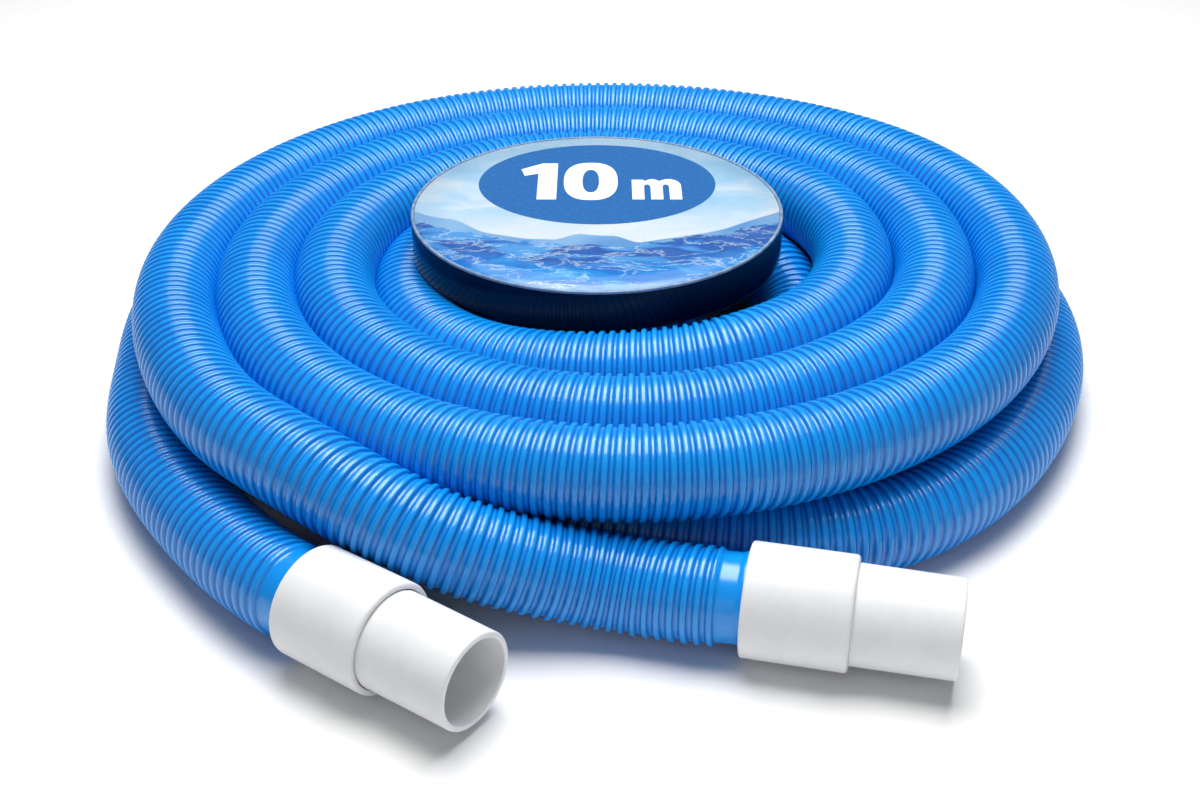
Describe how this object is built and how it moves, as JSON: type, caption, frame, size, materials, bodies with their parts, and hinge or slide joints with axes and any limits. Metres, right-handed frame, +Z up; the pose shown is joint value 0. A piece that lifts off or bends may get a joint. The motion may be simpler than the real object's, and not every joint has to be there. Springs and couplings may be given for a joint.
{
  "type": "pool vacuum hose",
  "caption": "Coiled corrugated suction hose for a swimming pool vacuum, with a swivelling stepped cuff on each end and a round size label on top.",
  "frame": {"origin": "on the floor, under the middle of the whole object's bounding box", "axes": "+Z up; the two cuffs lie at the -Y side, which is the front; +X to the right"},
  "size_m": [0.608, 0.6741, 0.1036],
  "materials": {
    "hose_blue": "semi-gloss blue flexible plastic",
    "cuff_white": "satin white moulded plastic",
    "washer_grey": "dark soft rubber",
    "label_navy": "gloss film, nearly black navy",
    "label_foam": "light grey foam board",
    "label_print": "printed card in blues under gloss film",
    "label_grey": "grey-blue edge strip"
  },
  "bodies": {
    "hose": {"hose_coil_lower": "hose_blue", "hose_coil_upper": "hose_blue", "hose_middle": "hose_blue", "hose_tail_left": "hose_blue", "hose_tail_right": "hose_blue", "hose_end_left": "hose_blue", "hose_end_right": "hose_blue", "cuff_collar_left": "cuff_white", "cuff_collar_right": "cuff_white", "cuff_washer_left": "washer_grey", "cuff_washer_right": "washer_grey"},
    "nozzle_left": {"cuff_nozzle_left": "cuff_white"},
    "nozzle_right": {"cuff_nozzle_right": "cuff_white"},
    "label": {"label_hub": "label_foam", "label_base": "label_navy", "label_core": "label_foam", "label_card": "label_print", "label_band": "label_navy", "label_rim": "label_grey"}
  },
  "joints": [
    {"name": "left_nozzle_swivel", "type": "hinge", "parent": "hose", "child": "nozzle_left", "pos_m": [-0.0996, -0.2874, 0.029], "axis": [0.8151, -0.5793, 0], "continuous": true},
    {"name": "right_nozzle_swivel", "type": "hinge", "parent": "hose", "child": "nozzle_right", "pos_m": [0.12322, -0.26791, 0.029], "axis": [0.974, -0.2266, 0], "continuous": true},
    {"name": "label_lift", "type": "slide", "parent": "hose", "child": "label", "axis": [0, 0, 1], "range_m": [0, 0.15]}
  ]
}
